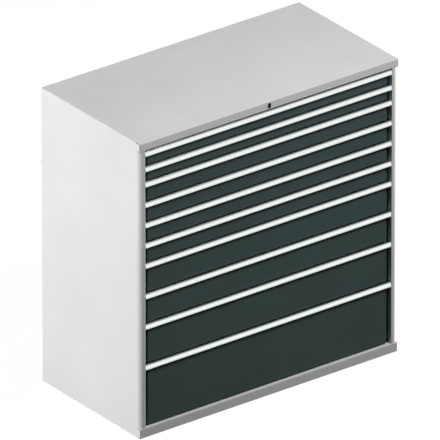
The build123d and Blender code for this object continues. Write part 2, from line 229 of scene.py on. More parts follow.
housingPaint = powderCoat(powderSpecs["housing"])
drawerPaint = powderCoat(powderSpecs["drawers"])
handleMetal = brightMetal(metalSpecs["handles"])
zincSteel = brightMetal(metalSpecs["zinc"])
lockLacquer = mouldedPlastic(plasticSpecs["lock"])
labelFilm = brightMetal(metalSpecs["labels"])
rollerNylon = mouldedPlastic(plasticSpecs["roller"])

dressNodes(["left_side_wall", "right_side_wall", "top_panel", "base_panel", "back_panel"], housingPaint)
dressNodes(["cabinet_rails", "lock_slide", "lock_bar"], zincSteel)
dressNodes(["lock_barrel", "lock_core"], lockLacquer)
for name in drawerNames:
    dressNodes([f"{name}_tray", f"{name}_front"], drawerPaint)
    dressNodes([f"{name}_handle"], handleMetal)
    dressNodes([f"{name}_label"], labelFilm)
    dressNodes([f"{name}_middle_rails"], zincSteel)
print("materials on", len(nodes), "nodes")


# Surfaces. A part is (points, quads, caps), one closed shell, turned the same way all over
arcStep = 1.6 * mm                # the length of a bend from one point to the next
arcPoints = 5                     # the fewest points on a bend
cornerSteps = 6                   # points on a quarter round
squareCorner = 0.2 * mm           # the rounding of a corner that is left all but square
sharpAngle = math.radians(40)     # an edge that turns more than this is shown sharp


def bentLine(corners, radii):
    # An open line through the corners, each bend an arc tangent to both its runs: centre minus
    # radius times the direction across the line, turned by the share of the bend. A bend of
    # radius 0 lies on a straight run. Gives the points, the directions to the left of the line
    # and the index of the point where each run starts
    corners = np.array(corners, float)
    runs = np.diff(corners, axis=0)
    runs /= np.linalg.norm(runs, axis=1)[:, None]
    lefts = np.stack([-runs[:, 1], runs[:, 0]], 1)
    points, sides, starts = [corners[:1]], [lefts[:1]], [0]
    for index, radius in enumerate(radii):
        before, after = runs[index], runs[index + 1]
        turn = math.atan2(before[0] * after[1] - before[1] * after[0], before @ after)
        count = max(arcPoints, round(radius / arcStep)) if radius else 1
        share = np.linspace(0, turn, count)[:, None]
        side = np.cos(share) * lefts[index] - np.sin(share) * before
        sign = math.copysign(1.0, turn)
        start = corners[index + 1] - before * radius * math.tan(abs(turn) / 2)
        points.append(start + sign * radius * (lefts[index] - side))
        sides.append(side)
        starts.append(starts[-1] + count)
    points.append(corners[-1:])
    sides.append(lefts[-1:])
    return np.concatenate(points), np.concatenate(sides), starts


def closedRing(corners, radii):
    # a closed outline with rounded corners, started in the middle of its last side
    start = (np.array(corners[-1]) + np.array(corners[0])) / 2
    return bentLine([start, *corners, start], radii)[0][:-1]


def carried(line, stations, axes):
    # a line in two of the axes, repeated at each station along the third
    grid = np.empty((len(line), len(stations), 3))
    grid[..., axes[0]] = line[:, :1]
    grid[..., axes[1]] = line[:, 1:]
    grid[..., axes[2]] = stations
    return grid


def closedSheet(outer, inner, keep):
    # two parallel surfaces on one grid, joined by a rim wherever a kept cell borders on an open one
    rows, columns = outer.shape[:2]
    index = np.arange(rows * columns).reshape(rows, columns)
    a, b, c, d = index[:-1, :-1], index[1:, :-1], index[1:, 1:], index[:-1, 1:]
    back = rows * columns
    room = np.pad(keep, 1)
    quads = [np.stack([corner[keep] for corner in (a, b, c, d)], 1),
             np.stack([corner[keep] + back for corner in (a, d, c, b)], 1)]
    for near, far, beside in ((a, d, room[:-2, 1:-1]), (c, b, room[2:, 1:-1]),
                              (b, a, room[1:-1, :-2]), (d, c, room[1:-1, 2:])):
        edge = keep & ~beside
        quads.append(np.stack([near[edge], far[edge], far[edge] + back, near[edge] + back], 1))
    quads = np.concatenate(quads)
    used, quads = np.unique(quads, return_inverse=True)
    points = np.concatenate([outer.reshape(-1, 3), inner.reshape(-1, 3)])[used]
    return points, quads.reshape(-1, 4), []


def bentSheet(corners, radii, thickness, side, stations, axes, holes=()):
    # A folded sheet: the bent line carried along the stations, and its copy moved across by the
    # thickness, to the left for side 1 and to the right for -1. Holes leave out the cells from
    # one run to another and from one station to another
    points, lefts, starts = bentLine(corners, radii)
    keep = np.ones((len(points) - 1, len(stations) - 1), bool)
    for firstRun, lastRun, firstStation, lastStation in holes:
        keep[starts[firstRun]:starts[lastRun] + 1, firstStation:lastStation] = False
    return closedSheet(carried(points, stations, axes),
                       carried(points + side * thickness * lefts, stations, axes), keep)


def slottedPlate(acrossStops, alongStops, low, high, axes, keep):
    # a flat plate between two levels on a grid of stops, with open cells
    sides = [carried(np.stack([acrossStops, np.full(len(acrossStops), level)], 1), alongStops, axes)
             for level in (low, high)]
    return closedSheet(sides[0], sides[1], keep)


def plate(low, high, axes=(0, 1, 2)):
    # a plain rectangular plate between two corners
    return slottedPlate(np.array([low[axes[0]], high[axes[0]]]), np.array([low[axes[2]], high[axes[2]]]),
                        low[axes[1]], high[axes[1]], axes, np.ones((1, 1), bool))


def lofted(rings, joined=False):
    # faces from each ring of points to the next one, with flat caps on the two end rings, or
    # with the last ring joined to the first
    count, size = rings.shape[:2]
    index = np.arange(count * size).reshape(count, size)
    if joined:
        index = np.concatenate([index, index[:1]])
    around = np.roll(index, -1, axis=1)
    quads = np.stack([index[:-1], around[:-1], around[1:], index[1:]], -1).reshape(-1, 4)
    caps = [] if joined else [index[0][::-1], index[-1]]
    return rings.reshape(-1, 3), quads, caps


def extruded(ring, stations, axes):
    # a closed outline carried along the stations, with flat ends
    return lofted(carried(ring, stations, axes).transpose(1, 0, 2))


def roundedRing(halfWide, halfHigh, radius, steps):
    # a rectangle with rounded corners as one ring of points, a circle when all three are equal:
    # the middle of each corner plus the radius times cosine and sine over a quarter turn
    turns = np.linspace(0, math.pi / 2, steps)[None, :] + np.arange(4)[:, None] * math.pi / 2
    middles = np.array([[1, 1], [-1, 1], [-1, -1], [1, -1]]) * [halfWide - radius, halfHigh - radius]
    arcs = np.stack([np.cos(turns), np.sin(turns)], -1) * radius
    return (middles[:, None] + arcs).reshape(-1, 2)


def ringStack(sizes, centre, axes, steps=cornerSteps):
    # rounded rings one behind another: half width, half height, corner radius and depth of each
    rings = np.empty((len(sizes), 4 * steps, 3))
    for ring, (halfWide, halfHigh, radius, depth) in zip(rings, sizes):
        outline = roundedRing(halfWide, halfHigh, radius, steps)
        ring[:, axes[0]] = centre[0] + outline[:, 0]
        ring[:, axes[1]] = centre[1] + outline[:, 1]
        ring[:, axes[2]] = depth
    return rings


def mirrored(part):
    # the same shell on the other side of the cabinet's middle
    points, quads, caps = part
    flipped = points.copy()
    flipped[:, 0] *= -1
    return flipped, quads, caps


def outward(part):
    # turns a shell so that its signed volume is positive
    points, quads, caps = part
    corners = points[quads]
    volume = np.einsum("ij,ij->i", corners[:, 0], np.cross(corners[:, 1], corners[:, 2])
                       + np.cross(corners[:, 2], corners[:, 3])).sum()
    for cap in caps:
        edge = points[cap]
        volume += edge[0] @ np.cross(edge, np.roll(edge, -1, axis=0)).sum(0)
    if volume < 0:
        quads, caps = quads[:, ::-1], [cap[::-1] for cap in caps]
    return points, quads, caps


def makePiece(name, parts, material, body, replaced=()):
    # one mesh from closed shells, smooth over its bends and sharp at its cut edges
    points, faces, base = [], [], 0
    for part in parts:
        shell, quads, caps = outward(part)
        points.append(shell)
        faces += (quads + base).tolist() + [(cap + base).tolist() for cap in caps]
        base += len(shell)
    mesh = bpy.data.meshes.new(name)
    mesh.from_pydata(np.concatenate(points), [], faces)
    mesh.shade_smooth()
    mesh.set_sharp_from_angle(angle=sharpAngle)
    mesh.materials.append(material)
    piece = bpy.data.objects.new(name, mesh)
    scene.collection.objects.link(piece)
    even = piece.modifiers.new("evenNormals", "WEIGHTED_NORMAL")
    even.keep_sharp = True
    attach(piece, body)
    if replaced:
        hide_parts(*replaced)


# Housing sheets, with the round folds of a press brake
housingSpec = {
    "sheet": 1.5 * mm, "fold": 2.5 * mm,
    # top and base panel: the front rail's return and lip, the fold behind with its open corners,
    # and the side of the square lock hole
    "railReturn": 26 * mm, "railLip": 12 * mm, "rearDrop": 25 * mm, "rearFlange": 20 * mm,
    "lockHole": 15.2 * mm,
    # the floor holes: radius, distance from the outside, the square plate round each, and points
    # on a quarter of the hole
    "floorHole": 5.5 * mm, "floorInset": 70 * mm, "floorPlate": 30 * mm, "floorHoleSteps": 9,
    # the front column of a side wall, and the folded edges of the back panel
    "columnWidth": 32 * mm, "columnRadius": 22 * mm, "columnFold": 10 * mm, "backFold": 14 * mm,
}
topLow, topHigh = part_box("top_panel")
baseLow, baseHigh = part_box("base_panel")
wallLow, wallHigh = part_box("left_side_wall")
lockLow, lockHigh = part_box("lock_barrel")
halfWidth = topHigh.x
frontY = topLow.y
backY = topHigh.y
lockZ = (lockLow.z + lockHigh.z) / 2


def endPlates(ring, sheet):
    # the plates that close the two ends of a folded panel
    spans = ((-halfWidth, -halfWidth + sheet), (halfWidth - sheet, halfWidth))
    return [extruded(ring, np.array(span), (1, 2, 0)) for span in spans]


def topPanel(spec):
    # one sheet from the lip up the front rail, back over the top and down behind, with the
    # square lock hole in the rail
    sheet, fold = spec["sheet"], spec["fold"]
    lipY = frontY + spec["railReturn"]
    hole = spec["lockHole"] / 2
    corners = [(lipY, topLow.z + spec["railLip"]), (lipY, topLow.z), (frontY, topLow.z),
               (frontY, lockZ - hole), (frontY, lockZ + hole), (frontY, topHigh.z), (backY, topHigh.z),
               (backY, topHigh.z - spec["rearDrop"])]
    inner = halfWidth - spec["rearFlange"]
    stations = np.array([-halfWidth, -inner, -hole, hole, inner, halfWidth])
    shell = bentSheet(corners, [fold, fold, 0, 0, fold, fold], sheet, -1, stations, (1, 2, 0),
                      [(3, 3, 2, 3), (6, 6, 0, 1), (6, 6, 4, 5)])
    end = closedRing([(lipY, topLow.z), (frontY, topLow.z), (frontY, topHigh.z), (lipY, topHigh.z)],
                     [fold, fold, fold, squareCorner])
    shells = [shell, *endPlates(end, sheet)]
    makePiece("topPanel", shells, housingPaint, "housing", ["top_panel"])


def basePanel(spec):
    # The top panel's folds turned over. Each floor hole is round, in a square plate of its own
    # that fills an open cell of the sheet
    sheet, fold, half = spec["sheet"], spec["fold"], spec["floorPlate"] / 2
    radius = spec["floorHole"]
    holeX, holeY = halfWidth - spec["floorInset"], backY - spec["floorInset"]
    lipY = frontY + spec["railReturn"]
    corners = [(lipY, baseHigh.z - spec["railLip"]), (lipY, baseHigh.z), (frontY, baseHigh.z),
               (frontY, baseLow.z), (-holeY - half, baseLow.z), (-holeY + half, baseLow.z),
               (holeY - half, baseLow.z), (holeY + half, baseLow.z), (backY, baseLow.z),
               (backY, baseLow.z + spec["rearDrop"])]
    inner = halfWidth - spec["rearFlange"]
    stations = np.array([-halfWidth, -inner, -holeX - half, -holeX + half, holeX - half, holeX + half,
                         inner, halfWidth])
    holes = [(run, run, cell, cell + 1) for run in (4, 6) for cell in (2, 4)]
    holes += [(8, 8, 0, 1), (8, 8, 6, 7)]
    radii = [fold, fold, fold, 0, 0, 0, 0, fold]
    shells = [bentSheet(corners, radii, sheet, 1, stations, (1, 2, 0), holes)]
    upper = baseLow.z + sheet
    sizes = [(half, half, squareCorner, baseLow.z), (radius, radius, radius, baseLow.z),
             (radius, radius, radius, upper), (half, half, squareCorner, upper)]
    shells += [lofted(ringStack(sizes, (x, y), (0, 1, 2), spec["floorHoleSteps"]), joined=True)
               for x in (-holeX, holeX) for y in (-holeY, holeY)]
    end = closedRing([(lipY, baseLow.z), (frontY, baseLow.z), (frontY, baseHigh.z), (lipY, baseHigh.z)],
                     [squareCorner, fold, fold, fold])
    shells += endPlates(end, sheet)
    makePiece("basePanel", shells, housingPaint, "housing", ["base_panel"])


def sideWall(name, node, spec, sign, extra):
    # one sheet from the rear flange along the wall, round the front column and back inside,
    # with the column's folds only between the base rail and the top rail. It is worked out for
    # the left side, and mirrored where the sign is positive
    sheet, fold = spec["sheet"], spec["fold"]
    openingX = halfWidth - spec["columnWidth"]
    lipY = frontY + spec["railReturn"]
    columnY = wallLow.y
    corners = [(-halfWidth + spec["rearFlange"], backY), (-halfWidth, backY), (-halfWidth, lipY),
               (-halfWidth, columnY), (-openingX, columnY), (-openingX, lipY),
               (-openingX - spec["columnFold"], lipY)]
    stations = np.array([wallLow.z, baseHigh.z, topLow.z, wallHigh.z])
    radii = [fold, 0, spec["columnRadius"], fold, fold]
    shells = [bentSheet(corners, radii, sheet, 1, stations, (0, 1, 2), [(2, 5, 0, 1), (2, 5, 2, 3)])]
    shells += uprights(uprightSpec, spec)
    shells = shells if sign < 0 else [mirrored(shell) for shell in shells]
    makePiece(name, shells + extra, housingPaint, "housing", [node])


# The upright strips, with slots at the 25 mm step of the drawer heights
uprightSpec = {"depth": 24 * mm, "width": 40 * mm, "slotWide": 12.6 * mm, "slotHigh": 14.6 * mm,
               "pitch": 25 * mm, "frontY": -318 * mm, "rearY": 290 * mm}


def uprights(spec, housing):
    # the two hat-shaped strips inside the left wall, with a row of slots at the step of the fronts
    innerX = -halfWidth + housing["sheet"]
    faceX = innerX + spec["depth"]
    hookLow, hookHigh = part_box(f"{drawerNames[0]}_middle_rails")
    hookZ = (hookLow.z + hookHigh.z) / 2
    below = math.floor((hookZ - baseHigh.z - spec["slotHigh"] / 2) / spec["pitch"])
    above = math.floor((topLow.z - hookZ - spec["slotHigh"] / 2) / spec["pitch"])
    centres = hookZ + np.arange(-below, above + 1) * spec["pitch"]
    stops = np.stack([centres - spec["slotHigh"] / 2, centres + spec["slotHigh"] / 2], 1).ravel()
    stations = np.concatenate([[baseHigh.z], stops, [topLow.z]])
    radii = [housing["fold"], 0, 0, housing["fold"]]
    slots = [(2, 2, 2 * k + 1, 2 * k + 2) for k in range(len(centres))]
    strips = []
    for lowY in (spec["frontY"], spec["rearY"]):
        middleY = lowY + spec["width"] / 2
        corners = [(innerX, lowY), (faceX, lowY), (faceX, middleY - spec["slotWide"] / 2),
                   (faceX, middleY + spec["slotWide"] / 2), (faceX, lowY + spec["width"]),
                   (innerX, lowY + spec["width"])]
        strips.append(bentSheet(corners, radii, housing["sheet"], 1, stations, (0, 1, 2), slots))
    return strips


# The guides of the lock bar, on the right wall alone
guideSpec = {"height": 20 * mm, "count": 3, "gap": 0.4 * mm, "overlap": 5 * mm}


def barGuides(spec, sheet):
    # the guides that keep the lock bar against the right column, evenly spaced, the outer ones
    # their own height away from the rails
    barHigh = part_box("lock_bar")[1]
    height = spec["height"]
    frontFace = barHigh.y + spec["gap"]
    step = (topLow.z - baseHigh.z - 3 * height) / (spec["count"] - 1)
    lows = baseHigh.z + height + np.arange(spec["count"]) * step
    return [plate((barHigh.x - spec["overlap"], frontFace, low),
                  (halfWidth - sheet, frontFace + sheet, low + height)) for low in lows]


def backPanel(spec):
    # a flat sheet with its lower and upper edges folded forwards
    low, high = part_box("back_panel")
    corners = [(high.y - spec["backFold"], low.z), (high.y, low.z), (high.y, high.z),
               (high.y - spec["backFold"], high.z)]
    stations = np.array([low.x, high.x])
    shell = bentSheet(corners, [spec["fold"], spec["fold"]], spec["sheet"], 1, stations, (1, 2, 0))
    makePiece("backPanel", [shell], housingPaint, "housing", ["back_panel"])


topPanel(housingSpec)
basePanel(housingSpec)
sideWall("leftSideWall", "left_side_wall", housingSpec, -1, [])
sideWall("rightSideWall", "right_side_wall", housingSpec, 1, barGuides(guideSpec, housingSpec["sheet"]))
backPanel(housingSpec)
print("housing sheets folded")


# Cabinet rails that hang in the slots of the uprights
railSpec = {"sheet": 1.5 * mm, "flange": 9 * mm, "height": 36 * mm, "fold": 2.0 * mm,
            "hookWide": 12 * mm, "hookHigh": 14 * mm, "hookReach": 5 * mm, "hookCorner": 1.5 * mm}


def channel(webX, tipX, lowY, highY, middleZ, spec):
    # a C section on its back at webX, open towards tipX
    half = spec["height"] / 2
    lowZ, highZ = middleZ - half, middleZ + half
    corners = [(tipX, lowZ), (webX, lowZ), (webX, highZ), (tipX, highZ)]
    side = 1 if tipX < webX else -1
    stations = np.array([lowY, highY])
    return bentSheet(corners, [spec["fold"], spec["fold"]], spec["sheet"], side, stations, (0, 2, 1))


def cabinetRails(spec):
    # a C rail on each side for each drawer, with a hook at each upright
    low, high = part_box("cabinet_rails")
    webX = high.x - spec["hookReach"]
    halfHook = spec["hookWide"] / 2
    hookStations = np.array([webX - spec["sheet"] / 2, webX + spec["hookReach"]])
    shells = []
    for name in drawerNames:
        railLow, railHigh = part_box(f"{name}_middle_rails")
        middleZ = (railLow.z + railHigh.z) / 2
        pair = [channel(webX, webX - spec["flange"], low.y, high.y, middleZ, spec)]
        for lowY in (uprightSpec["frontY"], uprightSpec["rearY"]):
            middleY = lowY + uprightSpec["width"] / 2
            lowZ, highZ = middleZ - spec["hookHigh"] / 2, middleZ + spec["hookHigh"] / 2
            ring = closedRing([(middleY - halfHook, lowZ), (middleY + halfHook, lowZ),
                               (middleY + halfHook, highZ), (middleY - halfHook, highZ)],
                              [spec["hookCorner"]] * 4)
            pair.append(extruded(ring, hookStations, (1, 2, 0)))
        shells += pair + [mirrored(shell) for shell in pair]
    makePiece("cabinetRails", shells, zincSteel, "housing", ["cabinet_rails"])


cabinetRails(railSpec)
print("cabinet rails hung")


# Drawers
# The folded front. The lowest one ends lowestGap above the base rail
panSpec = {"sheet": 1.2 * mm, "edge": 2.5 * mm, "lowestGap": 6 * mm}


def frontPan(name, spec):
    # a shallow folded pan: rounded rings from the front face round the edge, along the fold and
    # back inside by the thickness of the sheet. A ring's inset is the edge less the radius times
    # the sine of a quarter turn, and its depth the edge less the radius times the cosine
    low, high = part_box(f"{name}_front")
    if name == drawerNames[-1]:
        low.z = baseHigh.z + spec["lowestGap"]
    halfWide, halfHigh = high.x, (high.z - low.z) / 2
    edge, sheet = spec["edge"], spec["sheet"]
    turns = np.linspace(0, math.pi / 2, cornerSteps)
    outer = [(edge - edge * math.sin(a), edge - edge * math.cos(a)) for a in turns]
    bend = edge - sheet
    inner = [(edge - bend * math.sin(a), edge - bend * math.cos(a)) for a in turns[::-1]]
    depth = high.y - low.y
    profile = outer + [(0, depth), (sheet, depth)] + inner
    sizes = [(halfWide - inset, halfHigh - inset, max(edge - inset, squareCorner), low.y + back)
             for inset, back in profile]
    shell = lofted(ringStack(sizes, (0, (low.z + high.z) / 2), (0, 2, 1)))
    makePiece(f"{name}_frontPan", [shell], drawerPaint, name, [f"{name}_front"])


handleSpec = {
    # front wall, top web, rear leg, and the grip lip behind the foot of the wall
    "wall": 3.0 * mm, "web": 2.0 * mm, "leg": 1.6 * mm, "legHeight": 20 * mm, "gripLip": 2.0 * mm,
    "gripHeight": 2.6 * mm,
    # label channel in the wall: height of its edges, lip in front, undercut and depth
    "labelEdge": 3.4 * mm, "labelLip": 0.8 * mm, "undercut": 0.8 * mm, "labelSlot": 1.0 * mm,
    # radii of the outer corners, of the inner ones and of those in the label channel
    "edge": 1.0 * mm, "inner": 0.5 * mm, "fine": 0.25 * mm,
    # crown of the wall: height where it starts, its radius, and points up the wall
    "crownFoot": 5 * mm, "crownRadius": 41.5 * mm, "wallSteps": 9,
}


def crowned(points, foot, radius):
    # leans a section back above its foot along an arc: radius minus the root of radius squared
    # minus height squared
    height = np.maximum(points[:, 1] - foot, 0)
    bent = points.copy()
    bent[:, 0] += radius - np.sqrt(radius ** 2 - height ** 2)
    return bent


def handleStrip(name, spec):
    # the extruded section, given as depth behind the front plane and height, carried along X. Its
    # front wall and the label strip in it are crowned
    low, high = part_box(f"{name}_handle")
    front, panelY = low.y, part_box(f"{name}_front")[0].y
    top, bottom = high.z, low.z
    wallBack, legFront = front + spec["wall"], panelY - spec["leg"]
    gripBack, gripTop = wallBack + spec["gripLip"], bottom + spec["gripHeight"]
    underWeb, legFoot = top - spec["web"], top - spec["legHeight"]
    slotFront, slotBack = front + spec["labelLip"], front + spec["labelLip"] + spec["labelSlot"]
    grooveLow, grooveHigh = bottom + spec["labelEdge"], top - spec["labelEdge"]
    edge, inner, fine = spec["edge"], spec["inner"], spec["fine"]
    foot, radius = bottom + spec["crownFoot"], spec["crownRadius"]

    def steps(y, fromZ, toZ):
        # the points between two heights, so that a straight wall can bend
        return [((y, z), 0) for z in np.linspace(fromZ, toZ, spec["wallSteps"])[1:-1]]

    section = [
        ((front, top), edge), ((high.y, top), inner), ((high.y, underWeb), inner),
        ((panelY, underWeb), fine), ((panelY, legFoot), inner), ((legFront, legFoot), inner),
        ((legFront, underWeb), inner), ((wallBack, underWeb), inner),
        *steps(wallBack, underWeb - edge, gripTop), ((wallBack, gripTop), inner),
        ((gripBack, gripTop), inner), ((gripBack, bottom), edge), ((front, bottom), edge),
        ((front, grooveLow), fine),
        ((slotFront, grooveLow), fine), ((slotFront, grooveLow - spec["undercut"]), fine),
        ((slotBack, grooveLow - spec["undercut"]), fine), *steps(slotBack, grooveLow, grooveHigh),
        ((slotBack, grooveHigh + spec["undercut"]), fine),
        ((slotFront, grooveHigh + spec["undercut"]), fine), ((slotFront, grooveHigh), fine),
        ((front, grooveHigh), fine),
    ]
    ring = closedRing([corner for corner, bend in section], [bend for corner, bend in section])
    wall = ring[:, 0] < (gripBack + legFront) / 2
    ring[wall] = crowned(ring[wall], foot, radius)
    shell = extruded(ring, np.array([low.x, high.x]), (1, 2, 0))
    makePiece(f"{name}_handleStrip", [shell], handleMetal, name, [f"{name}_handle"])
    labelLow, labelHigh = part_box(f"{name}_label")
    heights = np.linspace(labelLow.z, labelHigh.z, spec["wallSteps"])
    sides = [crowned(np.stack([np.full(len(heights), y), heights], 1), foot, radius)
             for y in (labelLow.y, labelHigh.y)]
    outline = np.concatenate([sides[0], sides[1][::-1]])
    label = extruded(outline, np.array([labelLow.x, labelHigh.x]), (1, 2, 0))
    makePiece(f"{name}_labelStrip", [label], labelFilm, name, [f"{name}_label"])


traySpec = {
    "sheet": 1.2 * mm, "fold": 1.8 * mm, "halfWidth": 664.5 * mm, "hem": 5 * mm,
    # measured from the lines between one drawer and the next: the wings keep clear of them by the
    # two gaps, then come the floor, the middle of the rails and the room over the walls
    "bottomGap": 2 * mm, "topGap": 3 * mm, "floorGap": 8 * mm, "railHeight": 34 * mm,
    "headroom": 9 * mm, "railSetback": 5 * mm,
    # slots for dividers, and how far they end above the floor and below the top
    "slotPitch": 17 * mm, "slotWide": 3.2 * mm, "slotFoot": 14 * mm, "slotHead": 12 * mm,
    # notch for the lock bar's tab: its inner side, its foot and its head
    "notchX": 678 * mm, "notchLow": 7.5 * mm, "notchHigh": 16.5 * mm,
}


def slotStops(low, high, spec):
    # the edges of evenly pitched upright slots between two ends, with the ends themselves
    count = int((high - low - spec["slotPitch"]) / spec["slotPitch"])
    centres = (low + high) / 2 + (np.arange(count) - (count - 1) / 2) * spec["slotPitch"]
    edges = np.stack([centres - spec["slotWide"] / 2, centres + spec["slotWide"] / 2], 1).ravel()
    return np.concatenate([[low], edges, [high]])


def drawerTray(name, spec):
    # the folded box: floor and side walls as one sheet, the front plate with its wings, the rear
    # wall with its hem, and the drawer rails. All walls carry slots for dividers, and the right
    # wing has the notch for the lock bar's tab
    low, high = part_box(f"{name}_tray")
    sheet, fold, half = spec["sheet"], spec["fold"], spec["halfWidth"]
    floorZ = low.z - spec["bottomGap"] + spec["floorGap"]
    topZ = high.z + spec["topGap"] - spec["headroom"]
    plateY, rearY = low.y, high.y - spec["hem"]
    slotLow, slotHigh = floorZ + spec["slotFoot"], topZ - spec["slotHead"]
    inner = half - sheet
    along = slotStops(plateY + sheet, rearY - sheet, spec)
    corners = [(-half - spec["hem"], topZ), (-inner, topZ), (-inner, slotHigh), (-inner, slotLow),
               (-inner, floorZ + sheet), (inner, floorZ + sheet), (inner, slotLow), (inner, slotHigh),
               (inner, topZ), (half + spec["hem"], topZ)]
    slots = [(run, run, k, k + 1) for run in (2, 6) for k in range(1, len(along) - 1, 2)]
    radii = [fold, 0, 0, fold - sheet, fold - sheet, 0, 0, fold]
    trough = bentSheet(corners, radii, sheet, -1, along, (0, 2, 1), slots)
    across = slotStops(-inner, inner, spec)
    keep = np.ones((len(across) - 1, 3), bool)
    keep[1:-1:2, 1] = False
    rows = np.array([floorZ, slotLow, slotHigh, topZ])
    rear = slottedPlate(across, rows, rearY - sheet, rearY, (0, 1, 2), keep)
    hem = plate((-half - spec["hem"], rearY, topZ - sheet), (half + spec["hem"], high.y, topZ), (0, 2, 1))
    wide = np.concatenate([[low.x], across, [spec["notchX"], high.x]])
    tall = np.array([low.z, low.z + spec["notchLow"], low.z + spec["notchHigh"], slotLow, slotHigh,
                     topZ, high.z])
    keepFront = np.ones((len(wide) - 1, len(tall) - 1), bool)
    keepFront[2:-3:2, 3] = False
    keepFront[-1, 1] = False
    front = slottedPlate(wide, tall, plateY, plateY + sheet, (0, 1, 2), keepFront)
    railZ = low.z - spec["bottomGap"] + spec["railHeight"]
    rail = channel(half, half + railSpec["flange"], plateY + spec["railSetback"], rearY, railZ, railSpec)
    shells = [trough, rear, hem, front, rail, mirrored(rail)]
    makePiece(f"{name}_slottedTray", shells, drawerPaint, name, [f"{name}_tray"])


for name in drawerNames:
    frontPan(name, panSpec)
    handleStrip(name, handleSpec)
    drawerTray(name, traySpec)
print("drawers made")


# Middle rails of the telescopic slides, with their rollers and glides
middleSpec = {
    # the flat member, and the gap between it and a roller
    "web": 2.5 * mm, "height": 44 * mm, "corner": 4 * mm, "gap": 0.3 * mm,
    # rollers: their distance from the member's end, and points on a quarter of their round
    "rollerRadius": 16.2 * mm, "rollerWide": 9.4 * mm, "rollerSoft": 1.0 * mm,
    "rollerMargin": 18.2 * mm, "rollerSteps": 9,
    # the sunk face of a roller: its rim and foot as shares of the radius, and its depth
    "sunkRim": 0.62, "sunkFoot": 0.58, "sunkDepth": 1.2 * mm,
    # the rivet's domed head: shares of its radius, each with its depth under the roller's face
    "rivet": 5.0 * mm, "dome": ((1.0, 1.25 * mm), (0.9, 0.6 * mm), (0.5, 0.1 * mm)),
    # glides, and how far they stand from their roller
    "glideLong": 30 * mm, "glideCorner": 2.5 * mm, "spacing": 251.6 * mm,
}


def turned(profile, centre, steps):
    # a form turned about a line along X: circles of each radius, each at its place on the line
    return lofted(ringStack([(r, r, r, x) for r, x in profile], centre, (1, 2, 0), steps))


def middleRails(name, spec):
    # a flat member with a turned roller at each end, on opposite faces, and a moulded glide at
    # half length. The rollers' rivets show as domes on the far face
    low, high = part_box(f"{name}_middle_rails")
    body = name.replace("drawer_", "middle_rails_")
    middleZ = (low.z + high.z) / 2
    webX = high.x - spec["rollerWide"] - spec["gap"] - spec["web"] / 2
    half, rivet = spec["height"] / 2, spec["rivet"]
    radius, soft = spec["rollerRadius"], spec["rollerSoft"]
    ring = closedRing([(low.y, middleZ - half), (high.y, middleZ - half), (high.y, middleZ + half),
                       (low.y, middleZ + half)], [spec["corner"]] * 4)
    steel = [extruded(ring, np.array([webX - spec["web"] / 2, webX + spec["web"] / 2]), (1, 2, 0))]
    nylon = []
    for sign, rollerY, step in ((-1, low.y + spec["rollerMargin"], spec["spacing"]),
                                (1, high.y - spec["rollerMargin"], -spec["spacing"])):
        near = webX + sign * (spec["web"] / 2 + spec["gap"])
        far = near + sign * spec["rollerWide"]
        sunk = far - sign * spec["sunkDepth"]
        profile = [(rivet, near), (radius - soft, near), (radius, near + sign * soft),
                   (radius, far - sign * soft), (radius - soft, far), (spec["sunkRim"] * radius, far),
                   (spec["sunkFoot"] * radius, sunk), (rivet, sunk)]
        dome = [(share * rivet, far - sign * depth) for share, depth in spec["dome"]]
        nylon.append(turned(profile, (rollerY, middleZ), spec["rollerSteps"]))
        steel.append(turned(dome, (rollerY, middleZ), cornerSteps))
        glide = [(spec["glideLong"] / 2 - s, radius - s, spec["glideCorner"] - s, x)
                 for s, x in ((0, near), (0, far - sign * soft), (soft, far))]
        nylon.append(lofted(ringStack(glide, (rollerY + step, middleZ), (1, 2, 0))))
    steel += [mirrored(shell) for shell in steel]
    nylon += [mirrored(shell) for shell in nylon]
    makePiece(f"{name}_middleMembers", steel, zincSteel, body, [f"{name}_middle_rails"])
    makePiece(f"{name}_rollers", nylon, rollerNylon, body)


for name in drawerNames:
    middleRails(name, middleSpec)
print("middle rails made")


# Lock rosette and barrel
lockSpec = {
    # the rosette's rounded edge, with the share of it at the middle of its arc
    "soft": 0.6 * mm, "softShare": 0.3,
    # the bore and the bevel of its mouth, the square barrel, and points on a quarter of the round
    "bore": 6.05 * mm, "mouth": 0.3 * mm, "barrelHalf": 7.5 * mm, "barrelSoft": 1.0 * mm, "steps": 12,
}


def lockRosette(spec):
    # Rounded rings from the back of the rosette over its face, through the round bore and back
    # along the square barrel, joined into one closed shell
    faceY, rearY = lockLow.y, lockHigh.y
    halfWide, halfHigh = lockHigh.x, (lockHigh.z - lockLow.z) / 2
    soft, bore, barrel = spec["soft"], spec["bore"], spec["barrelHalf"]
    part, mouth = spec["softShare"] * soft, bore + spec["mouth"]
    sizes = [(halfWide, halfHigh, halfWide, frontY), (halfWide, halfHigh, halfWide, faceY + soft),
             (halfWide - part, halfHigh - part, halfWide - part, faceY + part),
             (halfWide - soft, halfHigh - soft, halfWide - soft, faceY),
             (mouth, mouth, mouth, faceY), (bore, bore, bore, faceY + spec["mouth"]),
             (bore, bore, bore, rearY), (barrel, barrel, spec["barrelSoft"], rearY),
             (barrel, barrel, spec["barrelSoft"], frontY)]
    shell = lofted(ringStack(sizes, (0, lockZ), (0, 2, 1), spec["steps"]), joined=True)
    makePiece("lockRosette", [shell], lockLacquer, "housing", ["lock_barrel"])


lockRosette(lockSpec)
print("lock made")


# Floor, world and light
white = (1, 1, 1, 1)
floorLook = {"halfSize": 30.0, "drop": 0.3 * mm, "colour": "#3A3A3A", "glow": 0.97}


